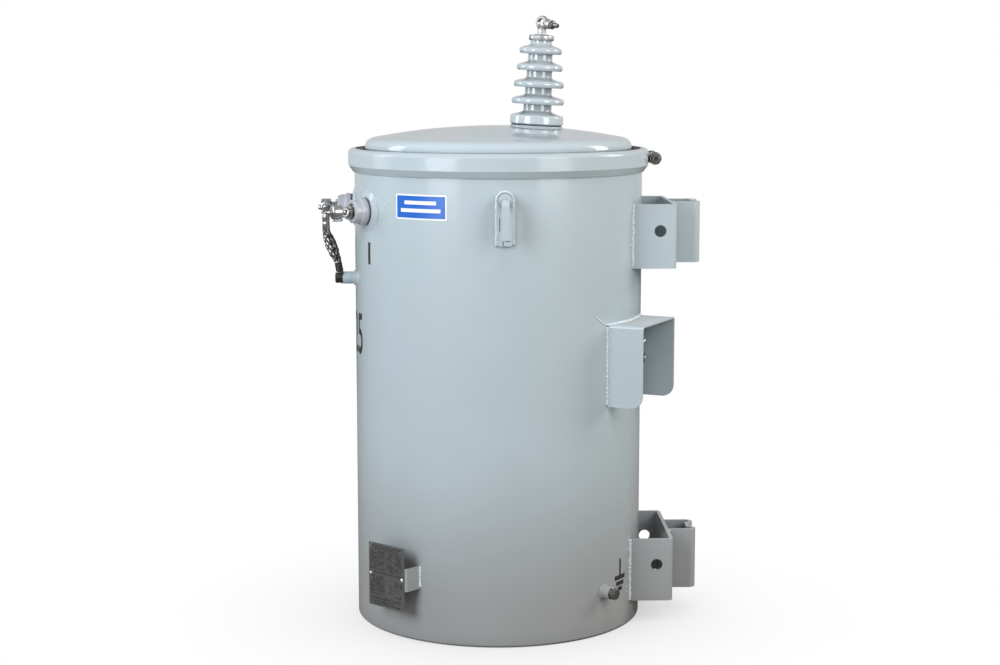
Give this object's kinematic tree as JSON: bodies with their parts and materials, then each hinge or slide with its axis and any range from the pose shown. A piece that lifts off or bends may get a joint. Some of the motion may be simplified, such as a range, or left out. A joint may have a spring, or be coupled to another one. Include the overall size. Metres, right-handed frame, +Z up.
{
  "type": "pole mounted transformer",
  "caption": "Cylindrical oil-filled pole transformer with a domed clamped cover, tall porcelain line bushing, side terminals, pole hanger brackets and a tap changer hood.",
  "frame": {"origin": "centre of the tank's base face", "axes": "+Z up, +Y towards the pole and its brackets, +X towards the side with the tap changer hood"},
  "size_m": [0.5842, 0.6748, 1.0652],
  "materials": {
    "tank_paint": "gloss sky grey enamel",
    "grey_porcelain": "glazed",
    "grey_epoxy": "moulded resin",
    "gasket_rubber": "matt",
    "plated_steel": "dulled zinc plate",
    "tinned_metal": "tinned",
    "bronze_metal": "bronze, dulled",
    "tinned_copper": "tinned braid",
    "black_plastic": "moulded",
    "marking_ink": "stencilled ink",
    "label_film": "printed vinyl",
    "nameplate_metal": "anodised dark"
  },
  "bodies": {
    "root": {"tank_bottom": "tank_paint", "tank_shell": "tank_paint", "cover_gasket": "gasket_rubber", "cover": "tank_paint", "cover_band": "tank_paint", "band_barrels": "tank_paint", "band_bolt": "plated_steel", "hv_gasket": "gasket_rubber", "hv_bushing": "grey_porcelain", "hv_cap": "tinned_metal", "hv_terminal": "tinned_metal", "hv_clamp_bolt": "plated_steel", "lv_pads": "tank_paint", "lv_gaskets": "gasket_rubber", "lv_bushings": "grey_epoxy", "lv_studs": "bronze_metal", "outer_clamps": "tinned_metal", "centre_clamp": "tinned_metal", "front_ground_boss": "tank_paint", "front_ground_bolt": "plated_steel", "strap_lower_lug": "tinned_copper", "strap_upper_lug": "tinned_copper", "ground_braid": "tinned_copper", "rear_ground_boss": "tank_paint", "rear_ground_bolt": "plated_steel", "lower_bracket": "tank_paint", "upper_bracket": "tank_paint", "lower_hanger": "tank_paint", "upper_hanger": "tank_paint", "tap_hood": "tank_paint", "tap_flange": "tank_paint", "tap_knob": "black_plastic", "tap_screw": "plated_steel", "tap_lock_bolt": "plated_steel", "lifting_plates": "tank_paint", "lifting_hooks": "tank_paint", "nameplate_bracket": "tank_paint", "nameplate": "nameplate_metal", "nameplate_screws": "plated_steel"}
  },
  "joints": []
}
